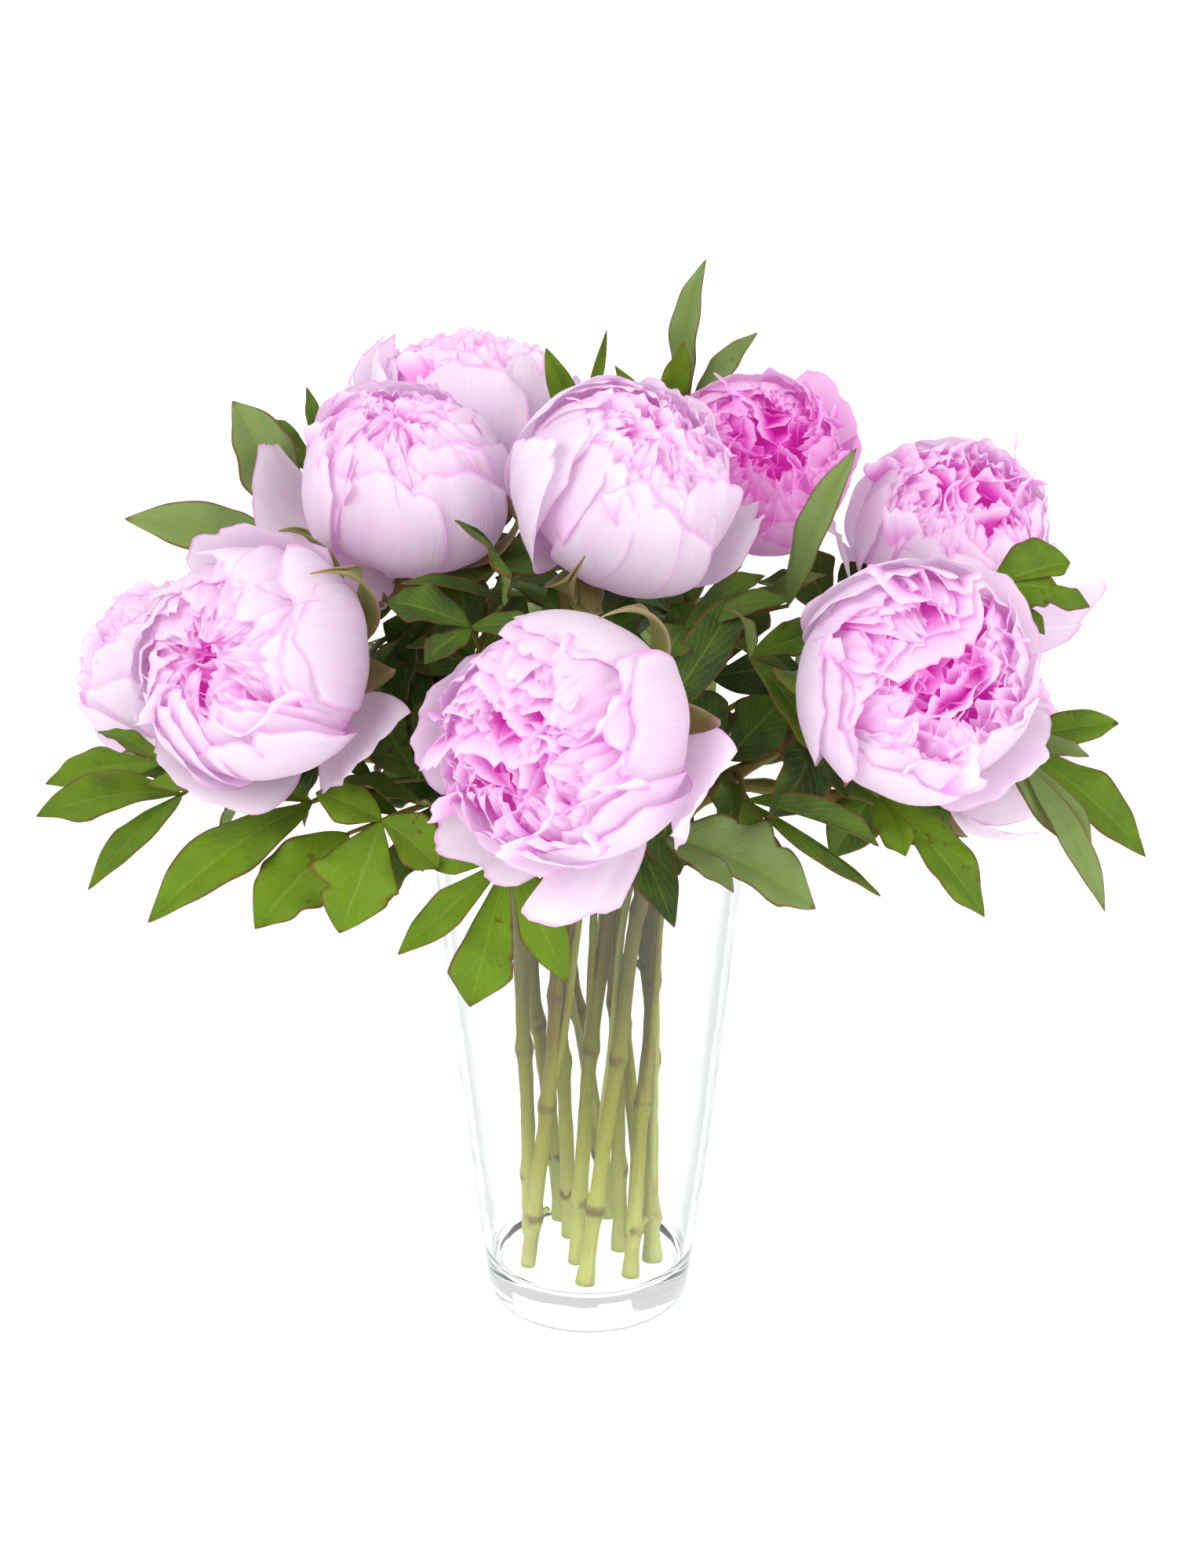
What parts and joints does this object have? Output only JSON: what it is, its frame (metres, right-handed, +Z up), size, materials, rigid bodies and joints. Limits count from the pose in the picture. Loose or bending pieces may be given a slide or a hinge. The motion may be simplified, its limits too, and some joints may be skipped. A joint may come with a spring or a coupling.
{
  "type": "bouquet of peonies in a glass vase",
  "caption": "Loose round bunch of cut double peonies with long leafy stems, standing dry in a tall tapered clear glass tumbler vase.",
  "frame": {"origin": "middle of the vase's underside, on the surface it stands on", "axes": "+Z up along the vase's axis; -Y towards the viewer of the bunch's front; +X to that viewer's right"},
  "size_m": [0.4866, 0.3672, 0.4798],
  "materials": {
    "glass": "clear, polished",
    "petals": "soft matt petal",
    "leaves": "semi-gloss leaf"
  },
  "bodies": {
    "root": {"vase": "glass", "bloom_front_left": "petals", "bloom_front_middle": "petals", "bloom_front_right": "petals", "bloom_upper_left": "petals", "bloom_crown": "petals", "bloom_upper_right": "petals", "bloom_back_right": "petals", "bloom_back_left": "petals", "bloom_far_left": "petals", "bloom_low_right": "petals", "bloom_rear": "petals", "stem_front_left": "leaves", "stem_front_middle": "leaves", "stem_front_right": "leaves", "stem_upper_left": "leaves", "stem_crown": "leaves", "stem_upper_right": "leaves", "stem_back_right": "leaves", "stem_back_left": "leaves", "stem_far_left": "leaves", "stem_low_right": "leaves", "stem_rear": "leaves"}
  },
  "joints": []
}
